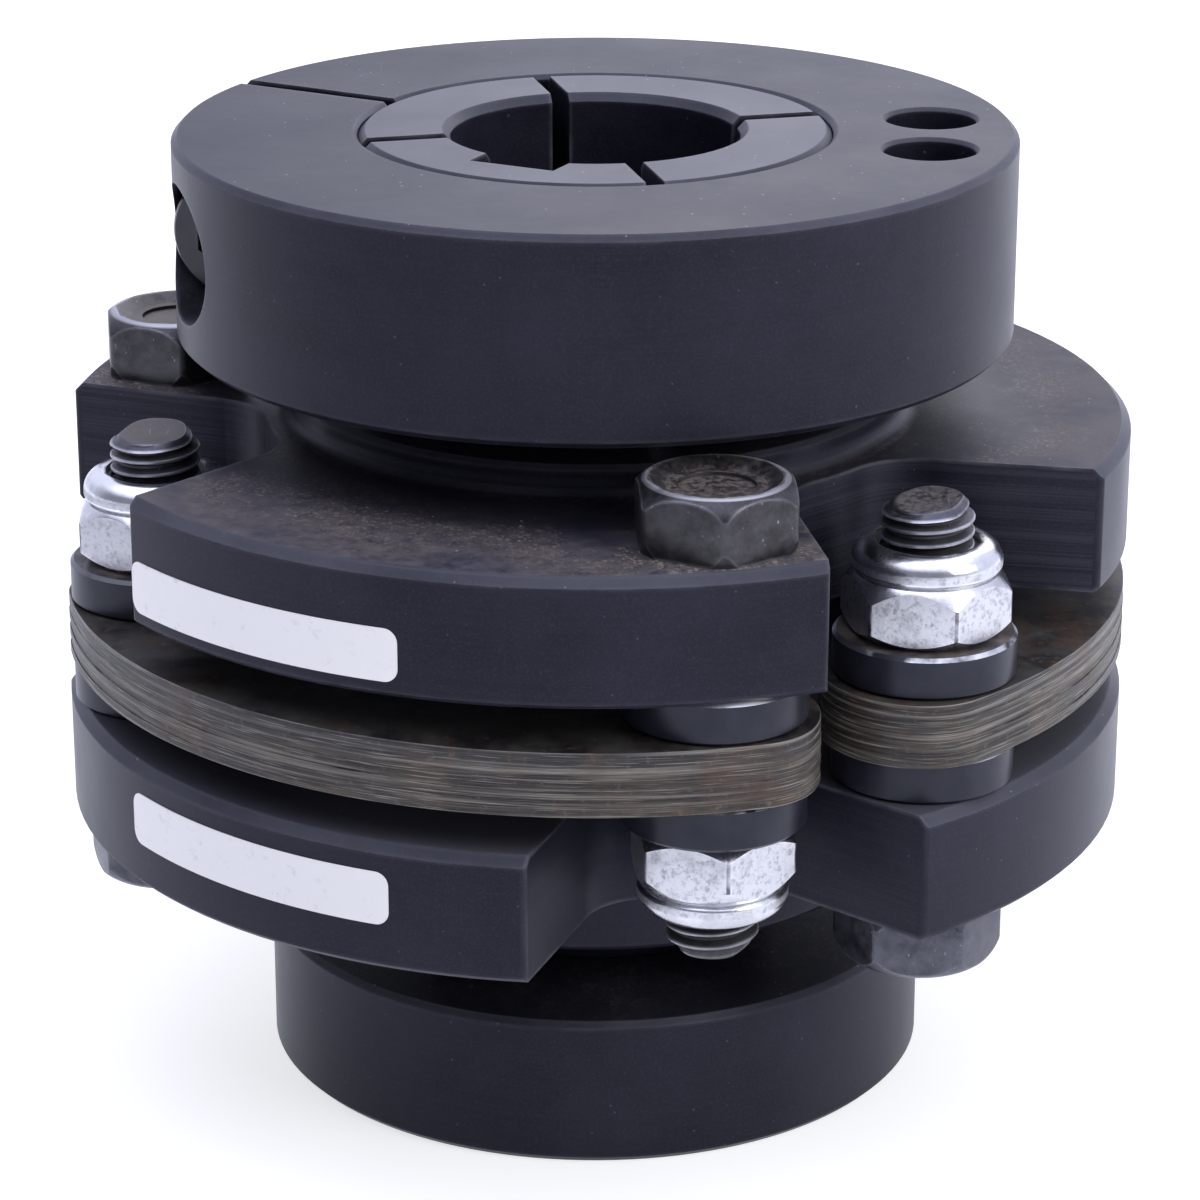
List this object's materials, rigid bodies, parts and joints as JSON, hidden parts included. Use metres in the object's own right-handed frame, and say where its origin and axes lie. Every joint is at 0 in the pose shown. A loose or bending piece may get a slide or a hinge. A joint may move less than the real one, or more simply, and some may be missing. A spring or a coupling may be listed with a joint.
{
  "type": "disc coupling",
  "caption": "Flexible disc coupling: flanged clamp hubs with slit rings, bolted in turn to curved laminated links that bend to join a pair of keyed shafts.",
  "frame": {"origin": "centre of the lower hub's bore at that hub's end face, on which the coupling stands", "axes": "+Z along the shaft axis from the lower hub to the upper hub, -Y towards the front, +X to the right seen from the front"},
  "size_m": [0.1196, 0.12, 0.1079],
  "materials": {
    "black_oxide_hub": "satin",
    "black_oxide_ring": "satin",
    "cap_screw_steel": "satin",
    "spacer_steel": "satin",
    "bolt_steel": "satin",
    "zinc_plated_nut": "satin",
    "nylon_insert": "matte",
    "cover_composite": "satin",
    "laminated_composite": "matte"
  },
  "bodies": {
    "root": {"link_1_cover_lamina": "cover_composite", "link_1_lamina_1": "laminated_composite", "link_1_lamina_2": "laminated_composite", "link_1_lamina_3": "laminated_composite", "link_1_lamina_4": "laminated_composite", "link_1_lamina_5": "laminated_composite", "link_2_cover_lamina": "cover_composite", "link_2_lamina_1": "laminated_composite", "link_2_lamina_2": "laminated_composite", "link_2_lamina_3": "laminated_composite", "link_2_lamina_4": "laminated_composite", "link_2_lamina_5": "laminated_composite", "link_3_cover_lamina": "cover_composite", "link_3_lamina_1": "laminated_composite", "link_3_lamina_2": "laminated_composite", "link_3_lamina_3": "laminated_composite", "link_3_lamina_4": "laminated_composite", "link_3_lamina_5": "laminated_composite", "lower_bolt_1": "bolt_steel", "lower_bolt_1_spacer_above": "spacer_steel", "lower_bolt_1_spacer_below": "spacer_steel", "lower_bolt_2": "bolt_steel", "lower_bolt_2_spacer_above": "spacer_steel", "lower_bolt_2_spacer_below": "spacer_steel", "lower_bolt_3": "bolt_steel", "lower_bolt_3_spacer_above": "spacer_steel", "lower_bolt_3_spacer_below": "spacer_steel", "lower_clamp_ring": "black_oxide_ring", "lower_clamp_screw": "cap_screw_steel", "lower_hub": "black_oxide_hub", "lower_lock_nut_1": "zinc_plated_nut", "lower_lock_nut_2": "zinc_plated_nut", "lower_lock_nut_3": "zinc_plated_nut", "lower_nut_insert_1": "nylon_insert", "lower_nut_insert_2": "nylon_insert", "lower_nut_insert_3": "nylon_insert", "upper_bolt_1": "bolt_steel", "upper_bolt_1_spacer_above": "spacer_steel", "upper_bolt_1_spacer_below": "spacer_steel", "upper_bolt_2": "bolt_steel", "upper_bolt_2_spacer_above": "spacer_steel", "upper_bolt_2_spacer_below": "spacer_steel", "upper_bolt_3": "bolt_steel", "upper_bolt_3_spacer_above": "spacer_steel", "upper_bolt_3_spacer_below": "spacer_steel", "upper_clamp_ring": "black_oxide_ring", "upper_clamp_screw": "cap_screw_steel", "upper_hub": "black_oxide_hub", "upper_lock_nut_1": "zinc_plated_nut", "upper_lock_nut_2": "zinc_plated_nut", "upper_lock_nut_3": "zinc_plated_nut", "upper_nut_insert_1": "nylon_insert", "upper_nut_insert_2": "nylon_insert", "upper_nut_insert_3": "nylon_insert"}
  },
  "joints": []
}
